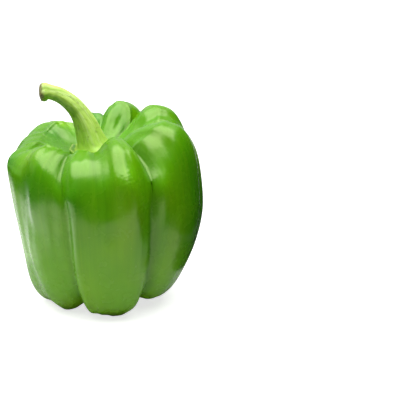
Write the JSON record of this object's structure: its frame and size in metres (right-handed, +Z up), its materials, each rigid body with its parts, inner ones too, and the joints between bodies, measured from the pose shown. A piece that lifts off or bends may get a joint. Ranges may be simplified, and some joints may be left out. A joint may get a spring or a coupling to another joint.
{
  "type": "bell pepper",
  "caption": "Blocky green bell pepper with swollen lobes and deep shoulder grooves, standing upright on its feet, with a curved ribbed stem on a small toothed calyx in a sunken cup.",
  "frame": {"origin": "middle of the bounding box, on the surface that the pepper stands on", "axes": "+Z up, towards the stem; -Y towards the viewer's side, the front lobe; -X the way the stem bends"},
  "size_m": [0.0846, 0.0844, 0.1002],
  "materials": {
    "skin": "smooth waxy green skin with a broad gloss, paler in its grooves",
    "calyx_leaf": "thin fleshy green collar with a pale edge, faintly glossy",
    "stem_rind": "pale yellow-green ribbed rind, satin, with a brown dried cut end"
  },
  "bodies": {
    "root": {"fruit": "skin", "calyx": "calyx_leaf", "stem": "stem_rind"}
  },
  "joints": []
}
